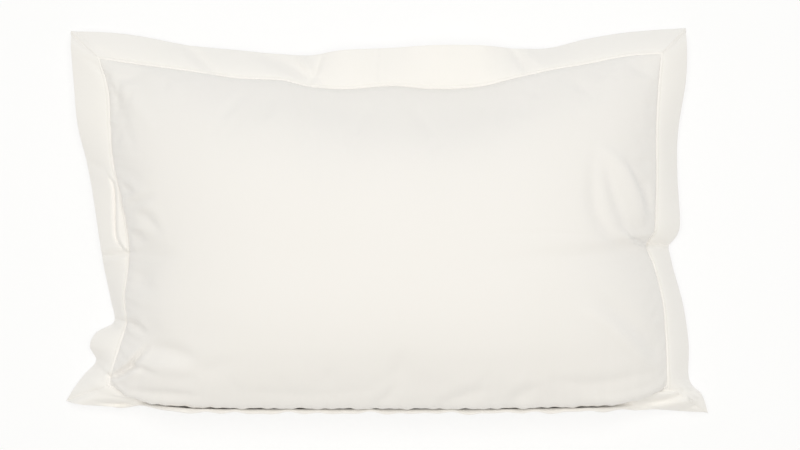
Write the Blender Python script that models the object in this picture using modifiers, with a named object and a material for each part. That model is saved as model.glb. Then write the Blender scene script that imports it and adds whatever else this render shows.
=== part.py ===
"""A plain cotton Oxford pillowcase with its pillow inside, lying on its back.

The bag (front and back panel, sewn edge to edge and filled) is one crowned solid.
Around its seam runs a flat border of doubled cloth: four strips, mitred at the corners.
Three of them reach out from the seam and droop; the bottom one is folded up along the belly.

Axes: +X to the right of the face, +Y to its top edge, +Z up out of the face.
The origin is on the surface that the case lies on, under the middle of its outline.
"""

from collections import namedtuple
from math import cos, exp, pi, sin, sqrt

import bmesh
import bpy
from mathutils import Vector

# Driving sizes, in metres
BORDER_WIDTH = 0.050           # seam to hem, laid flat
BORDER_THICKNESS = 0.0024      # two layers of cloth and their seam allowance
STIFFNESS = 0.014              # droop of the border where its full width reaches straight out
BORDER_BEND = 1.8              # power of its fall: near 1 it slopes evenly, higher it leaves the seam flat
SEAM_HEIGHT = 0.052            # of the seam over the surface, at the middle of a side
CORNER_DROP = 0.010            # how much lower the seam is at a corner
HEM_CLEARANCE = 0.0035         # least height of the middle of the border's cloth
FOLD_RADIUS = 0.007            # of the turn with which the bottom border goes up
FOLD_SETS_IN = 0.15            # part of the bottom side over which it turns up from each corner
CROWN = 0.114                  # of the front panel over its seam
BACK_DEPTH = 0.078             # of the filling below the seam, before the surface flattens it
BELLY_OVERHANG = 0.0265        # of the front panel past the bottom seam
BELLY_RISE = 0.10              # where that overhang is greatest, as a part of half the height
SETTLE = 0.11                  # how far the crown has slid to the bottom edge, on the same scale
ROOT_GAP = 0.0020              # from the bag's seam to the middle of the border's cloth
MITRE_GAP = 0.0014             # that each strip keeps from the mitre line at a corner
MITRE_SHARPNESS = 40           # power with which a strip gains its longer mitred width at a corner
FOLDS_FADE = 0.35              # part of the crown's height below which folds fade out to the seam
SEAM_WELD = 0.00005            # distance under which the two panels' seam points become one

# How full the bag is: a section is (1 - |t| ** flatness) ** fullness from seam to seam
FLATNESS_ACROSS = 3.4
FULLNESS_ACROSS = 0.68
FLATNESS_UP = 2.7
FULLNESS_UP = 0.66
BACK_FLATNESS = 3.0
BACK_FULLNESS = 0.50

# Mesh steps
BAG_STEPS_ACROSS = 40
BAG_STEPS_UP = 28
STRIP_STEPS_WIDE = 6

CLOTH_IVORY = (0.902, 0.880, 0.820)
CLOTH_ROUGHNESS = 0.85

# A station along one side: where the seam lies and where the border's hem lies, seen from above
Station = namedtuple("Station", "seam_x seam_y hem_x hem_y")

TOP_SIDE = (
    Station(-0.365, 0.206, -0.402, 0.241),
    Station(-0.316, 0.198, -0.328, 0.236),
    Station(-0.250, 0.189, -0.256, 0.223),
    Station(-0.190, 0.180, -0.190, 0.216),
    Station(-0.132, 0.177, -0.132, 0.211),
    Station(-0.098, 0.169, -0.098, 0.209),
    Station(-0.050, 0.166, -0.056, 0.215),
    Station(0.006, 0.170, 0.006, 0.218),
    Station(0.060, 0.166, 0.060, 0.221),
    Station(0.115, 0.169, 0.118, 0.221),
    Station(0.162, 0.180, 0.165, 0.218),
    Station(0.206, 0.190, 0.206, 0.219),
    Station(0.252, 0.198, 0.252, 0.230),
    Station(0.302, 0.208, 0.306, 0.239),
    Station(0.348, 0.212, 0.380, 0.245),
)

RIGHT_SIDE = (
    Station(0.348, 0.212, 0.380, 0.245),
    Station(0.343, 0.166, 0.379, 0.182),
    Station(0.340, 0.112, 0.369, 0.114),
    Station(0.340, 0.058, 0.368, 0.058),
    Station(0.339, 0.006, 0.371, 0.002),
    Station(0.337, -0.014, 0.368, -0.017),
    Station(0.325, -0.031, 0.357, -0.032),
    Station(0.331, -0.044, 0.359, -0.045),
    Station(0.338, -0.062, 0.363, -0.062),
    Station(0.348, -0.104, 0.375, -0.106),
    Station(0.352, -0.150, 0.382, -0.154),
    Station(0.354, -0.184, 0.382, -0.194),
    Station(0.355, -0.198, 0.387, -0.209),
    Station(0.355, -0.206, 0.399, -0.221),
    Station(0.355, -0.212, 0.407, -0.244),
)

LEFT_SIDE = (
    Station(-0.365, 0.206, -0.402, 0.241),
    Station(-0.352, 0.164, -0.396, 0.170),
    Station(-0.349, 0.118, -0.391, 0.120),
    Station(-0.345, 0.072, -0.380, 0.074),
    Station(-0.334, 0.026, -0.371, 0.026),
    Station(-0.326, -0.020, -0.364, -0.022),
    Station(-0.326, -0.058, -0.358, -0.060),
    Station(-0.331, -0.096, -0.350, -0.100),
    Station(-0.328, -0.126, -0.346, -0.128),
    Station(-0.333, -0.146, -0.368, -0.142),
    Station(-0.339, -0.164, -0.376, -0.159),
    Station(-0.345, -0.182, -0.369, -0.178),
    Station(-0.349, -0.196, -0.386, -0.198),
    Station(-0.351, -0.208, -0.407, -0.228),
)

BOTTOM_SIDE = (
    Station(-0.351, -0.208, -0.407, -0.228),
    Station(-0.318, -0.219, -0.352, -0.238),
    Station(-0.250, -0.223, -0.254, -0.2400),
    Station(-0.176, -0.224, -0.177, -0.2415),
    Station(-0.100, -0.224, -0.100, -0.2390),
    Station(-0.024, -0.224, -0.024, -0.2405),
    Station(0.052, -0.224, 0.052, -0.2420),
    Station(0.128, -0.224, 0.128, -0.2400),
    Station(0.204, -0.223, 0.206, -0.2425),
    Station(0.272, -0.222, 0.276, -0.2405),
    Station(0.326, -0.218, 0.346, -0.2410),
    Station(0.355, -0.212, 0.407, -0.2440),
)

# A soft ridge (height over 0) or trough (under 0) of the front panel. Turn is in degrees
# from +X towards +Y; length and width are the half sizes at which it has faded to a third.
Fold = namedtuple("Fold", "x y turn length width height")

FRONT_FOLDS = (
    Fold(0.294, 0.042, -58, 0.055, 0.013, 0.007),      # ridge in the dent at the right
    Fold(0.322, 0.034, -58, 0.045, 0.013, -0.009),     # trough outside that ridge
    Fold(0.274, 0.018, -75, 0.050, 0.016, -0.010),     # trough inside it
    Fold(0.250, 0.010, -62, 0.070, 0.034, -0.006),     # the dent's wide inner slope
    Fold(0.296, -0.030, 4, 0.060, 0.012, -0.008),      # crease under the dent
    Fold(0.292, -0.148, -40, 0.048, 0.014, 0.005),     # ridge over the lower right corner
    Fold(0.320, -0.226, 10, 0.070, 0.013, 0.004),      # ridge out to that corner
    Fold(-0.309, 0.036, -30, 0.030, 0.010, -0.005),    # short troughs fanning from the left seam
    Fold(-0.300, 0.012, -36, 0.034, 0.012, -0.006),
    Fold(-0.300, -0.020, -28, 0.030, 0.010, -0.006),
    Fold(-0.304, -0.126, 8, 0.036, 0.012, -0.007),     # pinch at the lower left
    Fold(-0.296, -0.168, 2, 0.062, 0.016, -0.008),     # broad trough of the lower left corner
    Fold(-0.290, -0.206, -4, 0.060, 0.012, -0.006),    # crease below it
    Fold(0.060, 0.128, 3, 0.170, 0.040, -0.006),       # slack under the top seam
    Fold(-0.098, 0.150, 62, 0.050, 0.014, -0.004),     # crease down from the dip of the top hem
)


def clear_scene():
    for old in list(bpy.data.objects):
        bpy.data.objects.remove(old, do_unlink=True)


def make_cloth(name):
    cloth = bpy.data.materials.new(name)
    cloth.use_nodes = True
    shader = cloth.node_tree.nodes["Principled BSDF"]
    shader.inputs["Base Color"].default_value = (*CLOTH_IVORY, 1.0)
    shader.inputs["Roughness"].default_value = CLOTH_ROUGHNESS
    shader.inputs["Metallic"].default_value = 0.0
    return cloth


def catmull_rom(before, start, end, after, t):
    """The smooth curve from start to end that also heeds the points on either side."""
    slope_in = (end - before) * 0.5
    slope_out = (after - start) * 0.5
    return (
        start * (2 * t ** 3 - 3 * t ** 2 + 1)
        + slope_in * (t ** 3 - 2 * t ** 2 + t)
        + end * (3 * t ** 2 - 2 * t ** 3)
        + slope_out * (t ** 3 - t ** 2)
    )


class Side:
    """One side of the case: its seam and hem as smooth curves over 0..1 of the seam's length."""

    def __init__(self, stations):
        self.seams = [Vector((row.seam_x, row.seam_y)) for row in stations]
        self.hems = [Vector((row.hem_x, row.hem_y)) for row in stations]
        self.marks = [0.0]
        for here, there in zip(self.seams, self.seams[1:]):
            self.marks.append(self.marks[-1] + (there - here).length)
        self.length = self.marks[-1]

    def read(self, points, s):
        """The point at the part s of the seam's length, on the curve through the given points."""
        reach = s * self.length
        last = len(self.marks) - 2
        k = max(i for i in range(last + 1) if self.marks[i] <= reach or i == 0)
        t = (reach - self.marks[k]) / (self.marks[k + 1] - self.marks[k])
        before = points[k - 1] if k > 0 else points[0] * 2 - points[1]
        after = points[k + 2] if k < last else points[-1] * 2 - points[-2]
        return catmull_rom(before, points[k], points[k + 1], after, t)

    def seam(self, s):
        flat = self.read(self.seams, s)
        height = SEAM_HEIGHT - CORNER_DROP * abs(2 * s - 1) ** 4
        return Vector((flat.x, flat.y, height))

    def hem(self, s):
        """The hem hangs as low as the border's own width lets it, past its reach seen from above."""
        seam = self.seam(s)
        flat = self.read(self.hems, s)
        reach = (flat - seam.xy).length
        mitre = abs(2 * s - 1) ** MITRE_SHARPNESS
        width = BORDER_WIDTH * (1 + (sqrt(2) - 1) * mitre)
        spare = width ** 2 - reach ** 2
        drop = sqrt((spare + sqrt(spare ** 2 + STIFFNESS ** 4)) / 2)
        return Vector((flat.x, flat.y, max(HEM_CLEARANCE, seam.z - drop)))


def bulge(t, flatness, fullness):
    return max(0.0, 1 - abs(t) ** flatness) ** fullness


def fold_height(fold, x, y):
    turn = fold.turn * pi / 180
    along = (x - fold.x) * cos(turn) + (y - fold.y) * sin(turn)
    across = (y - fold.y) * cos(turn) - (x - fold.x) * sin(turn)
    return fold.height * exp(-(along / fold.length) ** 2 - (across / fold.width) ** 2)


def spread(sides, u, v):
    """The point at u, v (each -1..1) of the patch that fills the loop of the four seams."""
    a = (u + 1) / 2
    b = (v + 1) / 2
    across = sides["bottom"].seam(a) * (1 - b) + sides["top"].seam(a) * b
    up = sides["left"].seam(1 - b) * (1 - a) + sides["right"].seam(1 - b) * a
    corners = (
        sides["bottom"].seam(0) * (1 - a) * (1 - b)
        + sides["bottom"].seam(1) * a * (1 - b)
        + sides["top"].seam(0) * (1 - a) * b
        + sides["top"].seam(1) * a * b
    )
    return across + up - corners


def front_point(sides, u, v):
    point = spread(sides, u, v)
    slid = v + SETTLE * (1 - v * v)
    crown = CROWN * bulge(u, FLATNESS_ACROSS, FULLNESS_ACROSS) * bulge(slid, FLATNESS_UP, FULLNESS_UP)
    held = min(1.0, crown / (FOLDS_FADE * CROWN))
    folds = sum(fold_height(fold, point.x, point.y) for fold in FRONT_FOLDS)
    rise = (v + 1) / BELLY_RISE
    overhang = BELLY_OVERHANG * rise * exp(1 - rise) * (1 - u ** 4)
    return Vector((point.x, point.y - overhang, point.z + crown + folds * held))


def back_point(sides, u, v):
    point = spread(sides, u, v)
    depth = BACK_DEPTH * bulge(u, BACK_FLATNESS, BACK_FULLNESS) * bulge(v, BACK_FLATNESS, BACK_FULLNESS)
    return Vector((point.x, point.y, max(0.0, point.z - depth)))


def crowd(t):
    """Sets even steps over -1..1 closer together towards both ends."""
    return sin(t * pi / 2)


def make_panel(mesh, sides, place, faces_up):
    panel = bmesh.ops.create_grid(
        mesh, x_segments=BAG_STEPS_ACROSS, y_segments=BAG_STEPS_UP, size=1.0
    )
    for corner in panel["verts"]:
        corner.co = place(sides, crowd(corner.co.x), crowd(corner.co.y))
    if not faces_up:
        faces = {face for corner in panel["verts"] for face in corner.link_faces}
        bmesh.ops.reverse_faces(mesh, faces=list(faces))


def make_object(mesh, name, collection):
    data = bpy.data.meshes.new(name)
    mesh.to_mesh(data)
    mesh.free()
    data.shade_smooth()
    piece = bpy.data.objects.new(name, data)
    piece.data.materials.append(make_cloth(name + " cotton"))
    collection.objects.link(piece)
    return piece


def make_bag(sides, collection):
    mesh = bmesh.new()
    make_panel(mesh, sides, front_point, faces_up=True)
    make_panel(mesh, sides, back_point, faces_up=False)
    bmesh.ops.remove_doubles(mesh, verts=mesh.verts, dist=SEAM_WELD)
    make_object(mesh, "filled_case", collection)


def drooping_point(side, s, w):
    """From the seam (w = 0) to the hem (w = 1): out at first, then bending down."""
    seam = side.seam(s)
    hem = side.hem(s)
    flat = seam.xy.lerp(hem.xy, w)
    height = seam.z + (hem.z - seam.z) * w ** BORDER_BEND
    return Vector((flat.x, flat.y, height))


def upturned_point(side, s, w):
    """From the seam straight out, round a quarter turn, then straight up to the hem."""
    seam = side.seam(s)
    outward = side.hem(s).xy - seam.xy
    ledge = outward.length - FOLD_RADIUS
    walked = w * BORDER_WIDTH
    turned = min(max((walked - ledge) / FOLD_RADIUS, 0.0), pi / 2)
    out = min(walked, ledge) + FOLD_RADIUS * sin(turned)
    up = FOLD_RADIUS * (1 - cos(turned)) + max(0.0, walked - ledge - FOLD_RADIUS * pi / 2)
    flat = seam.xy + outward.normalized() * out
    return Vector((flat.x, flat.y, seam.z + up))


def border_point(side, s, w, upturned):
    point = drooping_point(side, s, w)
    if upturned:
        ease = min(1.0, min(s, 1 - s) / FOLD_SETS_IN)
        point = point.lerp(upturned_point(side, s, w), ease * ease * (3 - 2 * ease))
    return point


def make_border(name, side, steps, collection, flip, upturned=False):
    """A strip with the bag's own steps along the seam, so that the two run side by side."""
    mesh = bmesh.new()
    strip = bmesh.ops.create_grid(mesh, x_segments=steps, y_segments=STRIP_STEPS_WIDE, size=1.0)
    inset = MITRE_GAP / side.length
    root = ROOT_GAP / BORDER_WIDTH
    for corner in strip["verts"]:
        s = inset + (crowd(corner.co.x) + 1) / 2 * (1 - 2 * inset)
        w = root + (corner.co.y + 1) / 2 * (1 - root)
        corner.co = border_point(side, s, w, upturned)
    if flip:
        bmesh.ops.reverse_faces(mesh, faces=mesh.faces)
    border = make_object(mesh, name, collection)
    thicken = border.modifiers.new("two layers of cloth", "SOLIDIFY")
    thicken.thickness = BORDER_THICKNESS
    thicken.offset = 0.0


def main():
    clear_scene()
    collection = bpy.data.collections.new("Oxford pillowcase")
    bpy.context.scene.collection.children.link(collection)
    sides = {
        "top": Side(TOP_SIDE),
        "right": Side(RIGHT_SIDE),
        "left": Side(LEFT_SIDE),
        "bottom": Side(BOTTOM_SIDE),
    }
    make_bag(sides, collection)
    across = BAG_STEPS_ACROSS
    up = BAG_STEPS_UP
    make_border("border_top", sides["top"], across, collection, flip=False)
    make_border("border_right", sides["right"], up, collection, flip=False)
    make_border("border_left", sides["left"], up, collection, flip=True)
    make_border("border_bottom", sides["bottom"], across, collection, flip=True, upturned=True)


main()
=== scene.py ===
# A filled Oxford pillowcase in ivory cotton percale, lying on its back.
# The bag and its four border strips follow the frame's solids; folds, gathers and stitches are added here.

import math

import bpy
import numpy as np
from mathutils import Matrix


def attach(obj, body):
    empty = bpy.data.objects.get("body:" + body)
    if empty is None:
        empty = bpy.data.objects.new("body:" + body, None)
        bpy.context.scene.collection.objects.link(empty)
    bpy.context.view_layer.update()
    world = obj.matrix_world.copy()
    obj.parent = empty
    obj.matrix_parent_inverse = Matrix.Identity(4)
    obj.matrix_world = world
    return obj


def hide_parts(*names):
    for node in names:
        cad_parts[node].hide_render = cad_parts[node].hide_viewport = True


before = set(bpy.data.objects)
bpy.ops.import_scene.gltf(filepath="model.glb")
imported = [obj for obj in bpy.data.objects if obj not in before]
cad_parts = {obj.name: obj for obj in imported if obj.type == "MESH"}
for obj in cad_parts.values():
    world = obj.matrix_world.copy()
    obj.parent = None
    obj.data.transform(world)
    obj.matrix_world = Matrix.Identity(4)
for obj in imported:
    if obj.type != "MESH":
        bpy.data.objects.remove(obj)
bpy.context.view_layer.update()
print("frame loaded:", sorted(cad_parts))

# where the seam and the hem of each side lie, seen from above, in metres
sideRows = {
    # seamX, seamY, hemX, hemY, from the left corner to the right one
    "top": [
        (-0.365, 0.206, -0.402, 0.241),
        (-0.316, 0.198, -0.328, 0.236),
        (-0.250, 0.189, -0.256, 0.223),
        (-0.190, 0.180, -0.190, 0.216),
        (-0.132, 0.177, -0.132, 0.211),
        (-0.098, 0.169, -0.098, 0.209),
        (-0.050, 0.166, -0.056, 0.215),
        (0.006, 0.170, 0.006, 0.218),
        (0.060, 0.166, 0.060, 0.221),
        (0.115, 0.169, 0.118, 0.221),
        (0.162, 0.180, 0.165, 0.218),
        (0.206, 0.190, 0.206, 0.219),
        (0.252, 0.198, 0.252, 0.230),
        (0.302, 0.208, 0.306, 0.239),
        (0.348, 0.212, 0.380, 0.245),
    ],
    # from the top corner to the bottom one
    "right": [
        (0.348, 0.212, 0.380, 0.245),
        (0.343, 0.166, 0.379, 0.182),
        (0.340, 0.112, 0.369, 0.114),
        (0.340, 0.058, 0.368, 0.058),
        (0.339, 0.006, 0.371, 0.002),
        (0.337, -0.014, 0.368, -0.017),
        (0.325, -0.031, 0.357, -0.032),
        (0.331, -0.044, 0.359, -0.045),
        (0.338, -0.062, 0.363, -0.062),
        (0.348, -0.104, 0.375, -0.106),
        (0.352, -0.150, 0.382, -0.154),
        (0.354, -0.184, 0.382, -0.194),
        (0.355, -0.198, 0.387, -0.209),
        (0.355, -0.206, 0.399, -0.221),
        (0.355, -0.212, 0.407, -0.244),
    ],
    "left": [
        (-0.365, 0.206, -0.402, 0.241),
        (-0.352, 0.164, -0.396, 0.170),
        (-0.349, 0.118, -0.391, 0.120),
        (-0.345, 0.072, -0.380, 0.074),
        (-0.334, 0.026, -0.371, 0.026),
        (-0.326, -0.020, -0.364, -0.022),
        (-0.326, -0.058, -0.358, -0.060),
        (-0.331, -0.096, -0.350, -0.100),
        (-0.328, -0.126, -0.346, -0.128),
        (-0.333, -0.146, -0.368, -0.142),
        (-0.339, -0.164, -0.376, -0.159),
        (-0.345, -0.182, -0.369, -0.178),
        (-0.349, -0.196, -0.386, -0.198),
        (-0.351, -0.208, -0.407, -0.228),
    ],
    # from the left corner to the right one
    "bottom": [
        (-0.351, -0.208, -0.407, -0.228),
        (-0.318, -0.219, -0.352, -0.238),
        (-0.250, -0.223, -0.254, -0.2400),
        (-0.176, -0.224, -0.177, -0.2415),
        (-0.100, -0.224, -0.100, -0.2390),
        (-0.024, -0.224, -0.024, -0.2405),
        (0.052, -0.224, 0.052, -0.2420),
        (0.128, -0.224, 0.128, -0.2400),
        (0.204, -0.223, 0.206, -0.2425),
        (0.272, -0.222, 0.276, -0.2405),
        (0.326, -0.218, 0.346, -0.2410),
        (0.355, -0.212, 0.407, -0.2440),
    ],
}

# the seam's height over the surface, and how much and how abruptly it drops towards the corners
seamLine = dict(height=0.052, cornerDrop=0.010, dropSharpness=4)


def throughRows(rows, marks, s):
    # a smooth curve through every row, read at the parts s of its length
    k = np.clip(np.searchsorted(marks, s, side="right") - 1, 0, len(rows) - 2)
    t = ((s - marks[k]) / (marks[k + 1] - marks[k]))[:, None]
    ring = np.vstack([2 * rows[0] - rows[1], rows, 2 * rows[-1] - rows[-2]])
    before, start, end, after = ring[k], ring[k + 1], ring[k + 2], ring[k + 3]
    slopeIn = (end - before) * 0.5
    slopeOut = (after - start) * 0.5
    return (start * (2 * t**3 - 3 * t**2 + 1) + slopeIn * (t**3 - 2 * t**2 + t)
            + end * (3 * t**2 - 2 * t**3) + slopeOut * (t**3 - t**2))


def seamMarks(rows):
    steps = np.linalg.norm(np.diff(rows[:, :2], axis=0), axis=1)
    marks = np.concatenate([[0.0], np.cumsum(steps)])
    return marks / marks[-1], marks[-1]


def readSide(name, s):
    # seam points (x, y, z) and hem points (x, y) at the parts s of the seam's length
    rows = np.array(sideRows[name], float)
    marks, length = seamMarks(rows)
    flat = throughRows(rows, marks, s)
    height = seamLine["height"] - seamLine["cornerDrop"] * np.abs(2 * s - 1) ** seamLine["dropSharpness"]
    return np.column_stack([flat[:, :2], height]), flat[:, 2:], length


def clearSelection():
    bpy.ops.object.select_all(action="DESELECT")


def pick(obj):
    clearSelection()
    obj.select_set(True)
    bpy.context.view_layer.objects.active = obj


def readPoints(obj, what="co"):
    points = np.zeros(len(obj.data.vertices) * 3, np.float32)
    obj.data.vertices.foreach_get(what, points)
    return points.reshape(-1, 3).astype(float)


def writePoints(obj, points):
    obj.data.vertices.foreach_set("co", points.astype(np.float32).ravel())
    obj.data.update()


def smoothstep(low, high, value):
    t = np.clip((value - low) / (high - low), 0, 1)
    return t * t * (3 - 2 * t)


def addGrid(name, stepsX, stepsY):
    # a primitive grid over -1..1 both ways, its corners still to be placed
    clearSelection()
    bpy.ops.mesh.primitive_grid_add(x_subdivisions=stepsX, y_subdivisions=stepsY, size=2, location=(0, 0, 0))
    obj = bpy.context.object
    obj.name = name
    return obj


def editWhole(obj, operation, **settings):
    # one mesh operation on every face of a piece
    pick(obj)
    bpy.ops.object.mode_set(mode="EDIT")
    bpy.ops.mesh.select_all(action="SELECT")
    operation(**settings)
    bpy.ops.object.mode_set(mode="OBJECT")


def smoothShade(obj):
    pick(obj)
    bpy.ops.object.shade_smooth()


def cornerPoints(obj):
    # the point at each corner of each face
    corner = np.zeros(len(obj.data.loops), np.int32)
    obj.data.loops.foreach_get("vertex_index", corner)
    return corner


def layCloth(obj, across, up):
    # a UV map in metres of cloth, so that the weave keeps its size
    cloth = np.column_stack([across, up])[cornerPoints(obj)]
    obj.data.uv_layers.active.data.foreach_set("uv", cloth.astype(np.float32).ravel())


def finishWith(obj, kind, name, **settings):
    pick(obj)
    step = obj.modifiers.new(name, kind)
    for key, value in settings.items():
        setattr(step, key, value)
    bpy.ops.object.modifier_apply(modifier=step.name)


waveWeakest = 0.6                         # each sine has between this and its full strength


def waves(seed, position, lengths):
    # a smooth uneven line: a few sines of the given lengths in metres, each at its own chance start
    chance = np.random.default_rng(seed)
    total = np.zeros_like(position)
    for length in lengths:
        start, strength = chance.random(), chance.random()
        line = np.sin(2 * math.pi * (position / length + start))
        total += line * (waveWeakest + (1 - waveWeakest) * strength)
    return total / math.sqrt(len(lengths))


foldShape = dict(
    steps=25, reach=5,                    # points along a path, and how many widths from it the fold is felt
    margin=0.04, thinEnd=0.55,            # the last part of its fading that a fold skips, and its width there
    swell=0.45, swellAt=1.9, swellWidth=1.1,      # the cloth beside a crease: how high, how far out, how wide
    jump=0.2,                             # half the width over which a tuck jumps back up
)


def fold(kind, width, height, *path, taper=0.8):
    # width, height and the points of the path in metres; a small taper keeps the fold full up to its ends
    return dict(kind=kind, width=width, height=height, path=np.array(path), taper=taper)


def foldField(x, y, folds):
    # how far each point is lifted by the folds
    rise = np.zeros_like(x)
    for row in folds:
        marks = np.linspace(0, 1, len(row["path"]))
        line = throughRows(row["path"], marks, np.linspace(0, 1, foldShape["steps"]))
        reach = row["width"] * foldShape["reach"]
        near = ((x > line[:, 0].min() - reach) & (x < line[:, 0].max() + reach)
                & (y > line[:, 1].min() - reach) & (y < line[:, 1].max() + reach))
        if not near.any():
            continue
        px, py = x[near], y[near]
        best = np.full(px.shape, np.inf)
        along = np.zeros_like(px)
        side = np.zeros_like(px)
        for i in range(len(line) - 1):
            ax, ay = line[i]
            dx, dy = line[i + 1] - line[i]
            t = np.clip(((px - ax) * dx + (py - ay) * dy) / (dx * dx + dy * dy), 0, 1)
            gapX, gapY = px - ax - t * dx, py - ay - t * dy
            gap = np.hypot(gapX, gapY)
            closer = gap < best
            best = np.where(closer, gap, best)
            along = np.where(closer, (i + t) / (len(line) - 1), along)
            side = np.where(closer, np.sign(dx * gapY - dy * gapX), side)
        margin, thin, jump = foldShape["margin"], foldShape["thinEnd"], foldShape["jump"]
        ends = np.sin(math.pi * np.clip(along * (1 - 2 * margin) + margin, 0, 1)) ** row["taper"]
        d = best / (row["width"] * (thin + (1 - thin) * ends))
        shape = np.exp(-d ** 2)
        if row["kind"] == "crease":       # a narrow line with the cloth swelling on both sides
            shape -= foldShape["swell"] * np.exp(-((d - foldShape["swellAt"]) / foldShape["swellWidth"]) ** 2)
        if row["kind"] == "tuck":         # a slope down to the line, which then jumps back up
            shape = np.exp(-d) * smoothstep(-jump, jump, side * d)
        rise[near] += row["height"] * ends * shape
    return rise


# a front and a back panel round the pillow
bag = dict(
    stepsAcross=132, stepsUp=86,          # grid of one panel before it is subdivided once
    edgeCrowding=0.5,                     # 0 is an even grid, 1 packs it closest at the seam
    crown=0.110, backDepth=0.078,         # a little under the solid's, as the filling swells it
    # the crown's curve each way: a higher flat gives a flatter top, a lower full gives fuller sides
    flatAcross=3.4, fullAcross=0.68,
    flatUp=2.7, fullUp=0.66,
    backFlat=3.0, backFull=0.5,
    settle=0.11,                          # how far the crown has slid towards the bottom edge
    clothAcross=0.80, clothUp=0.52,       # metres of cloth from seam to seam over the crown
    weld=0.0002,                          # the panels are joined where their edges lie this close
    frontFacing=(0.0, 0.25), frontFrom=(0.002, 0.014),    # front folds fade in over these slopes and metres
    sharedFacing=(-0.3, 0.1),             # folds that cross the seam fade out past it, over these slopes
    gatherFrom=0.006,                     # gathers grow from nothing over this much cloth beside the seam
)

# where the front rolls out over its seam: middle and half are parts of the side's length, out is in metres,
# and depth, where it rolls out furthest, is a part of the panel's half width
rolls = [
    dict(side="bottom", middle=0.50, half=0.50, out=0.0268, sharpness=12, depth=0.10),
    dict(side="left", middle=0.46, half=0.11, out=0.005, sharpness=2, depth=0.07),
    dict(side="right", middle=0.56, half=0.05, out=0.008, sharpness=2, depth=0.06),
]

# small gathers that run in from each seam: height at the seam and how far they reach, in metres
gatherRows = {
    "top": dict(height=0.0006, reach=0.022, lengths=(0.019, 0.031, 0.052), seed=3),
    "right": dict(height=0.0009, reach=0.026, lengths=(0.017, 0.029, 0.047), seed=4),
    "left": dict(height=0.0011, reach=0.030, lengths=(0.016, 0.027, 0.045), seed=5),
    "bottom": dict(height=0.0014, reach=0.034, lengths=(0.018, 0.033, 0.058), seed=6),
}

frontFolds = [
    # the leaf-shaped dent at the right: its ridge, a trough on either side, and the hollow round it
    fold("soft", 0.010, 0.0050, (0.266, 0.090), (0.290, 0.068), (0.308, 0.038), (0.316, 0.006),
         (0.320, -0.010)),
    fold("soft", 0.0078, -0.0054, (0.300, 0.072), (0.317, 0.047), (0.329, 0.024), (0.337, 0.004)),
    fold("soft", 0.009, -0.0042, (0.272, 0.062), (0.283, 0.030), (0.292, 0.006), (0.300, -0.016)),
    fold("soft", 0.011, -0.0042, (0.256, 0.076), (0.256, 0.040), (0.262, 0.006), (0.284, -0.026),
         (0.306, -0.039), (0.330, -0.050)),
    fold("tuck", 0.010, -0.0050, (0.298, -0.014), (0.312, -0.026), (0.334, -0.032)),
    # the pressed line that runs on from that dent across the face
    fold("soft", 0.0026, -0.0007, (0.090, -0.019), (0.180, -0.018), (0.280, -0.021)),
    # slack over the lower right corner
    fold("soft", 0.011, 0.0042, (0.246, -0.112), (0.292, -0.146), (0.332, -0.186)),
    fold("soft", 0.012, -0.0036, (0.268, -0.098), (0.306, -0.130), (0.342, -0.168)),
    fold("soft", 0.010, -0.0036, (0.210, -0.202), (0.262, -0.206), (0.334, -0.190)),
    fold("soft", 0.006, 0.0022, (0.230, -0.222), (0.286, -0.224), (0.346, -0.210)),
    # short troughs fanning from the left seam
    fold("crease", 0.006, -0.0040, (-0.334, 0.046), (-0.326, 0.038), (-0.314, 0.034)),
    fold("crease", 0.006, -0.0034, (-0.326, 0.018), (-0.312, 0.022), (-0.292, 0.028)),
    fold("crease", 0.007, -0.0034, (-0.324, 0.014), (-0.302, 0.004), (-0.282, -0.016)),
    fold("crease", 0.006, -0.0032, (-0.322, -0.018), (-0.311, -0.022), (-0.302, -0.026)),
    fold("soft", 0.010, -0.0030, (-0.318, -0.070), (-0.306, -0.076), (-0.292, -0.088)),
    # lower left corner
    fold("crease", 0.005, -0.0040, (-0.334, -0.126), (-0.318, -0.130), (-0.300, -0.142)),
    fold("soft", 0.004, -0.0040, (-0.326, -0.184), (-0.310, -0.186), (-0.286, -0.193)),
    fold("soft", 0.012, -0.0062, (-0.306, -0.164), (-0.280, -0.162), (-0.240, -0.172)),
    fold("soft", 0.010, 0.0032, (-0.308, -0.186), (-0.272, -0.184), (-0.226, -0.196)),
    fold("soft", 0.007, -0.0044, (-0.322, -0.214), (-0.286, -0.219), (-0.236, -0.220)),
    fold("soft", 0.012, -0.0026, (-0.262, -0.200), (-0.226, -0.190), (-0.190, -0.176)),
    # a ridge down from the upper left corner, and the trough beside it
    fold("soft", 0.011, 0.0034, (-0.354, 0.198), (-0.330, 0.165), (-0.294, 0.116)),
    fold("soft", 0.009, -0.0034, (-0.346, 0.174), (-0.336, 0.140), (-0.318, 0.090)),
    # slack under the top seam
    fold("soft", 0.032, -0.0045, (-0.120, 0.146), (0.060, 0.130), (0.230, 0.160)),
    # creases low on the belly
    fold("crease", 0.007, -0.0022, (-0.020, -0.236), (0.000, -0.222), (0.012, -0.206)),
    fold("crease", 0.008, -0.0024, (0.060, -0.236), (0.090, -0.222), (0.124, -0.212)),
    fold("crease", 0.008, -0.0022, (0.150, -0.236), (0.166, -0.220), (0.190, -0.208)),
    fold("soft", 0.007, -0.0014, (-0.180, -0.214), (-0.090, -0.219), (-0.010, -0.212)),
]

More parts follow.
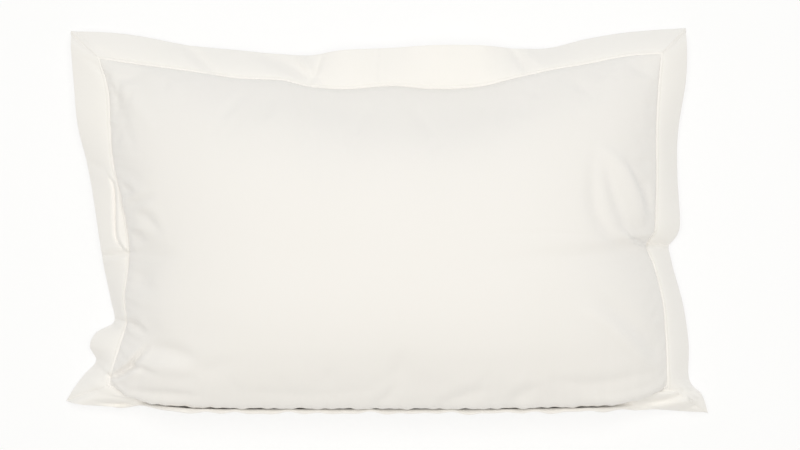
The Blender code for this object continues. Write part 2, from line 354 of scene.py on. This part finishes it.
# folds that cross the seam, shared by the bag and its border, straight up or down
sharedFolds = [
    # the border rolled over along the left seam, down to the pinch
    fold("tuck", 0.0066, 0.0050, (-0.350, 0.058), (-0.342, 0.044), (-0.340, 0.020), (-0.340, -0.004),
         (-0.338, -0.022), (-0.330, -0.036), (-0.316, -0.040), taper=0.4),
    fold("soft", 0.0026, -0.0056, (-0.348, 0.052), (-0.3435, 0.042), (-0.3425, 0.020), (-0.3425, -0.004),
         (-0.3405, -0.024), (-0.332, -0.036), taper=0.4),
    fold("crease", 0.0042, -0.0050, (-0.368, -0.043), (-0.346, -0.043), (-0.318, -0.040)),
    fold("crease", 0.0036, -0.0050, (-0.344, -0.124), (-0.332, -0.127), (-0.316, -0.131)),
    # the two arms of the fold at the lower left corner
    fold("tuck", 0.008, -0.0040, (-0.342, -0.200), (-0.356, -0.189), (-0.374, -0.176)),
    fold("crease", 0.0046, -0.0085, (-0.350, -0.198), (-0.336, -0.193), (-0.323, -0.185), (-0.313, -0.174),
         (-0.302, -0.160)),
    fold("soft", 0.0032, -0.0036, (-0.346, -0.197), (-0.334, -0.192), (-0.322, -0.184), (-0.310, -0.171)),
    fold("soft", 0.0060, 0.0030, (-0.384, -0.200), (-0.366, -0.208), (-0.340, -0.214)),
    # the border tucked under beside the dent, and again above the lower right corner
    fold("tuck", 0.011, -0.0110, (0.308, -0.0290), (0.330, -0.0315), (0.378, -0.0320)),
    fold("tuck", 0.010, -0.0062, (0.334, -0.2150), (0.360, -0.2165), (0.402, -0.2150)),
]


def bulge(t, flat, full):
    return np.clip(1 - np.abs(t) ** flat, 0, 1) ** full


def crowd(t):
    k = bag["edgeCrowding"]
    return (1 - k) * t + k * np.sin(t * math.pi / 2)


def spreadPanel(u, v):
    # the patch that fills the loop of the four seams
    a, b = (u + 1) / 2, (v + 1) / 2
    bottom, _, _ = readSide("bottom", a)
    top, _, _ = readSide("top", a)
    left, _, _ = readSide("left", 1 - b)
    right, _, _ = readSide("right", 1 - b)
    a, b = a[:, None], b[:, None]
    corners = {}
    for name, part in (("bottom", 0.0), ("bottom", 1.0), ("top", 0.0), ("top", 1.0)):
        corners[name, part] = readSide(name, np.array([part]))[0]
    fixed = (corners["bottom", 0.0] * (1 - a) * (1 - b) + corners["bottom", 1.0] * a * (1 - b)
             + corners["top", 0.0] * (1 - a) * b + corners["top", 1.0] * a * b)
    return bottom * (1 - b) + top * b + left * (1 - a) + right * a - fixed


def sidePlace(side, u, v):
    # how far along the side a point of the panel lies (0 to 1), and how far in (0 at the seam, 2 across)
    along = {"top": (u + 1) / 2, "bottom": (u + 1) / 2, "left": (1 - v) / 2, "right": (1 - v) / 2}[side]
    inward = {"top": 1 - v, "bottom": 1 + v, "left": 1 + u, "right": 1 - u}[side]
    return along, inward


outwards = {"top": (0, 1), "bottom": (0, -1), "left": (-1, 0), "right": (1, 0)}


def makePanel(name, front):
    obj = addGrid(name, bag["stepsAcross"], bag["stepsUp"])
    flat = readPoints(obj)
    u, v = crowd(flat[:, 0]), crowd(flat[:, 1])
    points = spreadPanel(u, v)
    if front:
        slid = v + bag["settle"] * (1 - v * v)
        height = bulge(u, bag["flatAcross"], bag["fullAcross"]) * bulge(slid, bag["flatUp"], bag["fullUp"])
        for roll in rolls:
            along, inward = sidePlace(roll["side"], u, v)
            rise = inward / roll["depth"]
            reach = np.clip(1 - (np.abs(along - roll["middle"]) / roll["half"]) ** roll["sharpness"], 0, 1)
            out = roll["out"] * rise * np.exp(1 - rise) * reach
            points[:, 0] += outwards[roll["side"]][0] * out
            points[:, 1] += outwards[roll["side"]][1] * out
        points[:, 2] += bag["crown"] * height
    else:
        depth = bulge(u, bag["backFlat"], bag["backFull"]) * bulge(v, bag["backFlat"], bag["backFull"])
        points[:, 2] = np.maximum(0, points[:, 2] - bag["backDepth"] * depth)
    writePoints(obj, points)
    layCloth(obj, u * bag["clothAcross"] / 2, v * bag["clothUp"] / 2)
    if not front:
        editWhole(obj, bpy.ops.mesh.flip_normals)
    return obj


def clothPlace(obj):
    # where each point of the bag lies in its own cloth, u and v over -1..1, read back from its UV map
    lie = np.zeros(len(obj.data.loops) * 2, np.float32)
    obj.data.uv_layers.active.data.foreach_get("uv", lie)
    cloth = np.zeros((len(obj.data.vertices), 2))
    cloth[cornerPoints(obj)] = lie.reshape(-1, 2)
    return cloth[:, 0] * 2 / bag["clothAcross"], cloth[:, 1] * 2 / bag["clothUp"]


def fromSeam(side, u, v):
    # metres of cloth between a point and one seam
    _, inward = sidePlace(side, u, v)
    return inward * (bag["clothUp"] if side in ("top", "bottom") else bag["clothAcross"]) / 2


def fromNearestSeam(u, v):
    return np.min([fromSeam(side, u, v) for side in outwards], axis=0)


def gathers(u, v):
    lift = np.zeros(len(u))
    for side, row in gatherRows.items():
        along, _ = sidePlace(side, u, v)
        metresAlong = along * (bag["clothAcross"] if side in ("top", "bottom") else bag["clothUp"])
        metresIn = fromSeam(side, u, v)
        line = waves(row["seed"], metresAlong, row["lengths"])
        begin = smoothstep(0, bag["gatherFrom"], metresIn)
        lift += row["height"] * line * np.exp(-metresIn / row["reach"]) * begin
    return lift


filling = dict(
    frames=20, mostMove=0.006,            # the moves are capped at this many metres
    seamFade=(0.003, 0.045), bottomFade=(0.02, 0.10),     # and fade in over these metres of cloth from a seam
    frontSlope=0.02, heldWithin=0.001,    # only cloth that faces up, and lies past the seam, is free to move
)

clothSettings = dict(
    quality=5, mass=0.12, tension_stiffness=12, compression_stiffness=12, shear_stiffness=5,
    bending_stiffness=0.25, use_pressure=True, uniform_pressure_force=4.0, vertex_group_mass="held",
    shrink_min=-0.016,                    # under 0 the cloth may grow past its rest size
)


def fillBag(obj):
    # the filling presses the front panel out against its seam, which is held, so that it gathers there
    before = readPoints(obj)
    u, v = clothPlace(obj)
    normals = readPoints(obj, "normal")
    nearest = fromNearestSeam(u, v)
    free = (normals[:, 2] > filling["frontSlope"]) & (nearest > filling["heldWithin"])
    held = obj.vertex_groups.new(name="held")
    held.add([int(i) for i in np.flatnonzero(~free)], 1.0, "REPLACE")
    pick(obj)
    cloth = obj.modifiers.new("filling", "CLOTH")
    for key, value in clothSettings.items():
        setattr(cloth.settings, key, value)
    cloth.settings.effector_weights.gravity = 0
    cloth.collision_settings.use_collision = False
    cloth.point_cache.frame_start = 1
    cloth.point_cache.frame_end = filling["frames"]
    for number in range(1, filling["frames"] + 1):
        bpy.context.scene.frame_set(number)
    bpy.ops.object.modifier_apply(modifier=cloth.name)
    bpy.context.scene.frame_set(1)
    moved = readPoints(obj) - before
    size = np.linalg.norm(moved, axis=1)
    print("filled, moves up to", round(float(size.max()) * 1000, 1), "mm")
    most = filling["mostMove"] * smoothstep(*filling["seamFade"], nearest)
    most *= smoothstep(*filling["bottomFade"], fromSeam("bottom", u, v))
    # a soft cap: small moves stay whole, large ones level off
    kept = most * np.tanh(size / np.maximum(most, 1e-9))
    writePoints(obj, before + moved * (kept / np.maximum(size, 1e-9))[:, None])


def makeBag():
    front = makePanel("caseCloth", True)
    back = makePanel("casePanelBack", False)
    pick(front)
    back.select_set(True)
    bpy.ops.object.join()
    editWhole(front, bpy.ops.mesh.remove_doubles, threshold=bag["weld"])
    fillBag(front)
    finishWith(front, "SUBSURF", "smooth cloth", levels=1, render_levels=1)
    points = readPoints(front)
    normals = readPoints(front, "normal")
    u, v = clothPlace(front)
    facing = smoothstep(*bag["frontFacing"], normals[:, 2])
    facing *= smoothstep(*bag["frontFrom"], fromNearestSeam(u, v))
    lift = foldField(points[:, 0], points[:, 1], frontFolds) * facing
    shared = foldField(points[:, 0], points[:, 1], sharedFolds)
    shared *= smoothstep(*bag["sharedFacing"], normals[:, 2])
    points += normals * (lift + gathers(u, v))[:, None]
    points[:, 2] = np.maximum(points[:, 2] + shared, 0)
    writePoints(front, points)
    smoothShade(front)
    return front


# four strips of doubled cloth
border = dict(
    width=0.050, thickness=0.0018, bend=1.45, hemClearance=0.0032, stiffness=0.014,
    mitreSharpness=40, floorGap=0.0004,
    # the bottom strip turns up round a radius, from a part of its side on, and stands this far out
    foldRadius=0.007, foldSetsIn=0.15, standAt=0.0137, standIn=(0.2, 0.4),
    lip=0.0036, lipFrom=0.86, lipBend=1.5, lipSink=0.3,   # its hem turns out past this part of its width
    sway=0.0018, swayLengths=(0.034, 0.052, 0.090), swayFrom=0.8, swaySeed=10,    # in and out, of that hem
    stepsWide=34, stepLong=0.0021, tuckIn=0.0045,
    seamCrowding=1.6,                     # 1 spaces the steps evenly, more packs them at the seam
    edgeBevel=0.0005, edgeAngle=50,
    ripple=0.0009, rippleLengths=(0.037, 0.061, 0.113), rippleFrom=0.1,
    seamBead=0.0006, seamBeadAt=0.0012, seamBeadWidth=0.0009,
    stitchGroove=0.00035, stitchAt=0.0030, grooveWidth=0.0007,
)

borderFolds = [
    # across the top strip
    fold("soft", 0.008, -0.0080, (-0.266, 0.230), (-0.240, 0.207), (-0.216, 0.184)),
    fold("soft", 0.010, -0.0082, (-0.176, 0.216), (-0.126, 0.196), (-0.076, 0.170)),
    fold("soft", 0.006, 0.0060, (-0.112, 0.216), (-0.102, 0.194), (-0.086, 0.168)),
    fold("soft", 0.004, -0.0036, (-0.080, 0.214), (-0.088, 0.190), (-0.098, 0.170)),
    fold("tuck", 0.004, -0.0018, (-0.010, 0.166), (-0.010, 0.196), (-0.010, 0.224)),
    fold("soft", 0.006, -0.0055, (0.154, 0.222), (0.166, 0.204), (0.176, 0.186)),
    fold("soft", 0.006, 0.0030, (0.172, 0.222), (0.184, 0.206), (0.196, 0.192)),
    # the inner corners
    fold("soft", 0.004, -0.0018, (-0.372, 0.220), (-0.358, 0.212), (-0.340, 0.204)),
    fold("soft", 0.005, -0.0018, (-0.384, 0.206), (-0.370, 0.198), (-0.356, 0.180)),
    # the left strip's crease above the roll
    fold("soft", 0.007, -0.0030, (-0.384, 0.078), (-0.366, 0.070), (-0.350, 0.060)),
    # the lower corners
    fold("crease", 0.0030, -0.0044, (-0.370, -0.2290), (-0.340, -0.2315), (-0.306, -0.2350)),
    fold("soft", 0.0050, 0.0064, (0.304, -0.241), (0.356, -0.234), (0.401, -0.222)),
    fold("soft", 0.0042, -0.0048, (0.322, -0.247), (0.354, -0.243), (0.394, -0.233)),
    fold("soft", 0.0050, -0.0056, (0.320, -0.230), (0.352, -0.2255), (0.392, -0.216)),
]


def stripPoints(side, s, w, seed):
    # points of a border strip: s runs along its seam and w from the seam (0) to the hem (1)
    seam, hem, length = readSide(side, s)
    out = hem - seam[:, :2]
    reach = np.linalg.norm(out, axis=1)
    mitre = np.abs(2 * s - 1) ** border["mitreSharpness"]
    width = border["width"] * (1 + (math.sqrt(2) - 1) * mitre)
    spare = width**2 - reach**2
    drop = np.sqrt((spare + np.sqrt(spare**2 + border["stiffness"]**4)) / 2)
    low = np.maximum(border["hemClearance"], seam[:, 2] - drop)
    points = np.zeros_like(seam)
    points[:, :2] = seam[:, :2] + out * w[:, None]
    points[:, 2] = seam[:, 2] + (low - seam[:, 2]) * np.maximum(w, 0) ** border["bend"]
    if side == "bottom":
        radius = border["foldRadius"]
        ledge = reach - radius
        walked = w * border["width"]
        turned = np.clip((walked - ledge) / radius, 0, math.pi / 2)
        goneOut = np.minimum(walked, ledge) + radius * np.sin(turned)
        goneUp = radius * (1 - np.cos(turned)) + np.maximum(0, walked - ledge - radius * math.pi / 2)
        lip = np.clip((w - border["lipFrom"]) / (1 - border["lipFrom"]), 0, 1) ** border["lipBend"]
        goneOut += border["lip"] * lip - (reach - border["standAt"]) * smoothstep(*border["standIn"], w)
        goneUp -= border["lipSink"] * border["lip"] * lip
        stood = seam[:, :2] + out / reach[:, None] * goneOut[:, None]
        upturned = np.column_stack([stood, seam[:, 2] + goneUp])
        ease = smoothstep(0, border["foldSetsIn"], np.minimum(s, 1 - s))[:, None]
        points = points * (1 - ease) + upturned * ease
        swaying = waves(seed + border["swaySeed"], s * length, border["swayLengths"])
        points[:, 1] += border["sway"] * swaying * smoothstep(border["swayFrom"], 1, w)
    rippling = waves(seed, s * length, border["rippleLengths"]) * smoothstep(border["rippleFrom"], 1, w)
    bead = border["seamBead"] * np.exp(-((w * width - border["seamBeadAt"]) / border["seamBeadWidth"]) ** 2)
    groove = border["stitchGroove"] * np.exp(-((w * width - border["stitchAt"]) / border["grooveWidth"]) ** 2)
    folded = foldField(points[:, 0], points[:, 1], borderFolds + sharedFolds)
    points[:, 2] += border["ripple"] * rippling + bead - groove + folded
    points[:, 2] = np.maximum(points[:, 2], border["thickness"] / 2 + border["floorGap"])
    return points, length


def makeStrip(name, side, flip, seed):
    _, length = seamMarks(np.array(sideRows[side], float))
    obj = addGrid(name, int(length / border["stepLong"]), border["stepsWide"])
    flat = readPoints(obj)
    s = np.clip((flat[:, 0] + 1) / 2, 0, 1)
    start = -border["tuckIn"] / border["width"]
    w = start + (1 - start) * ((flat[:, 1] + 1) / 2) ** border["seamCrowding"]
    points, length = stripPoints(side, s, w, seed)
    writePoints(obj, points)
    layCloth(obj, s * length, w * border["width"])
    if flip:
        editWhole(obj, bpy.ops.mesh.flip_normals)
    finishWith(obj, "SOLIDIFY", "two layers", thickness=border["thickness"], offset=0.0)
    finishWith(obj, "BEVEL", "turned edges", width=border["edgeBevel"], segments=2,
               limit_method="ANGLE", angle_limit=math.radians(border["edgeAngle"]))
    smoothShade(obj)
    return obj, length


stitch = dict(
    pitch=0.0030, length=0.0023, thread=0.00042, sides=6, rings=5,
    endMargin=0.0075,                     # the part of a side left without stitches at each end
    stepAlong=0.001, stepAcross=0.01,     # parts of the side and of its width over which directions are taken
    lift=0.1,                             # how far the thread's middle lies above the cloth, in threads
)


def makeStitches(seeds):
    # one row of stitches along the seam of each strip: a small long bead for each, half sunk into its groove
    clearSelection()
    bpy.ops.mesh.primitive_uv_sphere_add(segments=stitch["sides"], ring_count=stitch["rings"], radius=0.5)
    bead = bpy.context.object
    bead.name = "seamStitches"
    shape = readPoints(bead)
    faces = [tuple(face.vertices) for face in bead.data.polygons]
    allPoints, allFaces = [], []
    for side, seed in seeds.items():
        _, length = seamMarks(np.array(sideRows[side], float))
        sewn = 1 - 2 * stitch["endMargin"]
        count = int(length * sewn / stitch["pitch"])
        s = stitch["endMargin"] + sewn * (np.arange(count) + 0.5) / count
        w = np.full(count, border["stitchAt"] / border["width"])
        centre = stripPoints(side, s, w, seed)[0]
        ahead, aside = stitch["stepAlong"], stitch["stepAcross"]
        forward = stripPoints(side, s + ahead, w, seed)[0] - stripPoints(side, s - ahead, w, seed)[0]
        across = stripPoints(side, s, w + aside, seed)[0] - stripPoints(side, s, w - aside, seed)[0]
        forward /= np.linalg.norm(forward, axis=1)[:, None]
        up = np.cross(forward, across)
        up *= np.sign(up[:, 2])[:, None] / np.linalg.norm(up, axis=1)[:, None]
        across = np.cross(up, forward)
        centre += up * (border["thickness"] / 2 + stitch["thread"] * stitch["lift"])
        for i in range(count):
            first = len(allPoints) * len(shape)
            along = shape[:, 2:3] * stitch["length"] * forward[i]
            thick = (shape[:, 0:1] * across[i] + shape[:, 1:2] * up[i]) * stitch["thread"]
            allPoints.append(centre[i] + along + thick)
            allFaces += [tuple(first + corner for corner in face) for face in faces]
    mesh = bpy.data.meshes.new("seamStitches")
    mesh.from_pydata([tuple(point) for point in np.vstack(allPoints)], [], allFaces)
    bead.data = mesh
    smoothShade(bead)
    return bead


def linear(hexColour):
    parts = [int(hexColour[i:i + 2], 16) / 255 for i in (1, 3, 5)]
    return tuple(p / 12.92 if p <= 0.04045 else ((p + 0.055) / 1.055) ** 2.4 for p in parts) + (1.0,)


def addNode(tree, kind, settings=None, links=None):
    # settings and links name a socket or give its number; other settings belong to the node itself
    node = tree.nodes.new(kind)
    for key, value in (settings or {}).items():
        if isinstance(key, int) or key in node.inputs:
            node.inputs[key].default_value = value
        else:
            setattr(node, key, value)
    for socket, source in (links or {}).items():
        tree.links.new(source, node.inputs[socket])
    return node


def addMaterial(name):
    material = bpy.data.materials.new(name)
    material.use_nodes = True
    return material, material.node_tree, material.node_tree.nodes["Principled BSDF"]


percale = dict(
    roughness=0.78, sheen=0.10, sheenRoughness=0.45, specular=0.3,
    threadSpacing=0.0008,      # real percale is near 0.25 mm; drawn coarser so that it shows close up
    weaveDepth=0.00005, weaveStrength=0.4,
    creaseDepth=0.0005, creaseStrength=0.35, creaseScale=34.0, creaseDistortion=0.6, creaseDetail=3.0,
    slubLong=30.0, slubThin=900.0, slubDetail=2.0, patchScale=9.0, patchDetail=3.0,
)


def makePercale(name, colour, shade):
    # Cotton percale, plain woven and pressed: matt, even and light, with fine slubs where a thread runs thick
    material, tree, shader = addMaterial(name)
    shader.inputs["Roughness"].default_value = percale["roughness"]
    shader.inputs["Sheen Weight"].default_value = percale["sheen"]
    shader.inputs["Sheen Roughness"].default_value = percale["sheenRoughness"]
    shader.inputs["Specular IOR Level"].default_value = percale["specular"]
    place = addNode(tree, "ShaderNodeTexCoord")
    onCloth, inSpace = {"Vector": place.outputs["UV"]}, {"Vector": place.outputs["Object"]}
    # slubs along the warp, and faint uneven patches, both only in tone
    slubSize = (percale["slubThin"], percale["slubLong"], 1.0)
    stretched = addNode(tree, "ShaderNodeMapping", {"Scale": slubSize}, onCloth)
    slubs = addNode(tree, "ShaderNodeTexNoise", {"Scale": 1.0, "Detail": percale["slubDetail"]},
                    {"Vector": stretched.outputs["Vector"]})
    patches = addNode(tree, "ShaderNodeTexNoise",
                      {"Scale": percale["patchScale"], "Detail": percale["patchDetail"]}, inSpace)
    both = addNode(tree, "ShaderNodeMath", {"operation": "ADD"},
                   {0: slubs.outputs["Fac"], 1: patches.outputs["Fac"]})
    half = addNode(tree, "ShaderNodeMath", {"operation": "MULTIPLY", 1: 0.5}, {0: both.outputs[0]})
    # a colour mix has its part at socket 0, its two colours at 6 and 7 and its result at 2
    tone = addNode(tree, "ShaderNodeMix", {"data_type": "RGBA", 6: linear(colour), 7: linear(shade)},
                   {0: half.outputs[0]})
    tree.links.new(tone.outputs[2], shader.inputs["Base Color"])
    # over-and-under threads: the product of two sets of waves, one across the other, a wave for every
    # second thread; a wave texture of scale 1 repeats each 2 pi / 20
    waveScale = 2 * math.pi / 20 / (2 * percale["threadSpacing"])
    warp = addNode(tree, "ShaderNodeTexWave", {"bands_direction": "X", "Scale": waveScale}, onCloth)
    weft = addNode(tree, "ShaderNodeTexWave", {"bands_direction": "Y", "Scale": waveScale}, onCloth)
    weave = addNode(tree, "ShaderNodeMath", {"operation": "MULTIPLY"},
                    {0: warp.outputs["Fac"], 1: weft.outputs["Fac"]})
    creases = addNode(tree, "ShaderNodeTexNoise",
                      {"Scale": percale["creaseScale"], "Detail": percale["creaseDetail"],
                       "Distortion": percale["creaseDistortion"]}, inSpace)
    soft = addNode(tree, "ShaderNodeBump",
                   {"Strength": percale["creaseStrength"], "Distance": percale["creaseDepth"]},
                   {"Height": creases.outputs["Fac"]})
    fine = addNode(tree, "ShaderNodeBump",
                   {"Strength": percale["weaveStrength"], "Distance": percale["weaveDepth"]},
                   {"Height": weave.outputs[0], "Normal": soft.outputs["Normal"]})
    tree.links.new(fine.outputs["Normal"], shader.inputs["Normal"])
    return material


thread = dict(colour="#f5f1e6", roughness=0.55, twistScale=2500.0, twistStrength=0.4, twistDepth=0.00005)


def makeThread(name):
    # Mercerised cotton thread: smoother than the cloth, so it catches a little more light
    material, tree, shader = addMaterial(name)
    shader.inputs["Base Color"].default_value = linear(thread["colour"])
    shader.inputs["Roughness"].default_value = thread["roughness"]
    place = addNode(tree, "ShaderNodeTexCoord")
    twist = addNode(tree, "ShaderNodeTexNoise", {"Scale": thread["twistScale"], "Detail": 1.0},
                    {"Vector": place.outputs["Object"]})
    bump = addNode(tree, "ShaderNodeBump",
                   {"Strength": thread["twistStrength"], "Distance": thread["twistDepth"]},
                   {"Height": twist.outputs["Fac"]})
    tree.links.new(bump.outputs["Normal"], shader.inputs["Normal"])
    return material


def dress(obj, material):
    obj.data.materials.clear()
    obj.data.materials.append(material)


bagObj = makeBag()
print("bag made:", len(bagObj.data.polygons), "faces")

strips = {}
stripSeeds = {"top": 20, "right": 21, "left": 22, "bottom": 23}
for side, seed in stripSeeds.items():
    turned = side in ("left", "bottom")
    strips[side], length = makeStrip("border" + side.capitalize() + "Cloth", side, turned, seed)
    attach(strips[side], "root")
    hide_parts("border_" + side)
print("border strips made")

stitches = makeStitches(stripSeeds)
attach(stitches, "root")
print("stitches made:", len(stitches.data.polygons), "faces")

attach(bagObj, "root")
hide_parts("filled_case")

dress(bagObj, makePercale("ivory percale of the case", "#f7f4f2", "#f4f2ee"))
# the border's percale is a little lighter than the case's: partly the real paleness of doubled cloth, partly
# painted light that brightens the border
borderCotton = makePercale("ivory percale of the border", "#fcf9f7", "#f9f7f2")
for strip in strips.values():
    dress(strip, borderCotton)
dress(stitches, makeThread("ivory cotton thread"))
print("cloth and thread coloured")

# floor, light and camera
studio = dict(
    floorSize=9.0, floorDrop=0.0004, floorColour="#9c9c9c", floorRoughness=0.9, floorPaintedGlow=0.655,
    topColour="#fafcfc", topStrength=0.700, lowColour="#fefbf3", lowStrength=0.61,
    keyPower=24.7, keyColour="#fffdf8", keySize=1.6, keyPlace=(0.0, 0.12, 2.6),
    # the view is frameWidth wide at the height of framePlane; the sensor is in millimetres
    cameraPlace=(0.0165, -0.0055), cameraTilt=1.0, cameraDistance=5.0, frameWidth=1.0127, framePlane=0.026,
    sensor=36, farthest=50,
)

clearSelection()
bpy.ops.mesh.primitive_plane_add(size=studio["floorSize"], location=(0, 0, -studio["floorDrop"]))
floor = bpy.context.object
floor.name = "floor"
floorPaint, _, floorShader = addMaterial("pale floor with a painted glow")
floorShader.inputs["Base Color"].default_value = linear(studio["floorColour"])
floorShader.inputs["Roughness"].default_value = studio["floorRoughness"]
# the floor glows a little though it is no lamp: painted light. Its grey colour and its glow together keep it
# evenly pale while the shadows round the pillow are painted lighter
floorShader.inputs["Emission Color"].default_value = linear("#ffffff")
floorShader.inputs["Emission Strength"].default_value = studio["floorPaintedGlow"]
dress(floor, floorPaint)

# soft light from all round, cooler and stronger from the top edge, warmer and weaker from the bottom one
world = bpy.data.worlds.new("studio")
bpy.context.scene.world = world
world.use_nodes = True
sky = world.node_tree
background = sky.nodes["Background"]
direction = addNode(sky, "ShaderNodeTexCoord")
axes = addNode(sky, "ShaderNodeSeparateXYZ", {}, {"Vector": direction.outputs["Generated"]})
height = addNode(sky, "ShaderNodeMapRange", {"From Min": -1.0, "From Max": 1.0}, {"Value": axes.outputs["Y"]})
lowGlow = [part * studio["lowStrength"] for part in linear(studio["lowColour"])]
topGlow = [part * studio["topStrength"] for part in linear(studio["topColour"])]
blend = addNode(sky, "ShaderNodeMix", {"data_type": "RGBA", 6: lowGlow, 7: topGlow},
                {0: height.outputs["Result"]})
sky.links.new(blend.outputs[2], background.inputs["Color"])
background.inputs["Strength"].default_value = 1.0

bpy.ops.object.light_add(type="AREA", location=studio["keyPlace"])
key = bpy.context.object
key.name = "softKey"
key.data.energy = studio["keyPower"]
key.data.color = linear(studio["keyColour"])[:3]
key.data.size = studio["keySize"]

tilt = math.radians(studio["cameraTilt"])
bpy.ops.object.camera_add()
camera = bpy.context.object
camera.name = "camera"
camera.data.sensor_width = studio["sensor"]
camera.data.lens = studio["sensor"] * studio["cameraDistance"] / studio["frameWidth"]
aimX, aimY = studio["cameraPlace"]
camera.location = (aimX, aimY - math.sin(tilt) * studio["cameraDistance"],
                   studio["framePlane"] + math.cos(tilt) * studio["cameraDistance"])
camera.rotation_euler = (tilt, 0, 0)
camera.data.clip_end = studio["farthest"]
bpy.context.scene.camera = camera
bpy.context.scene.view_settings.view_transform = "Standard"
print("studio ready")
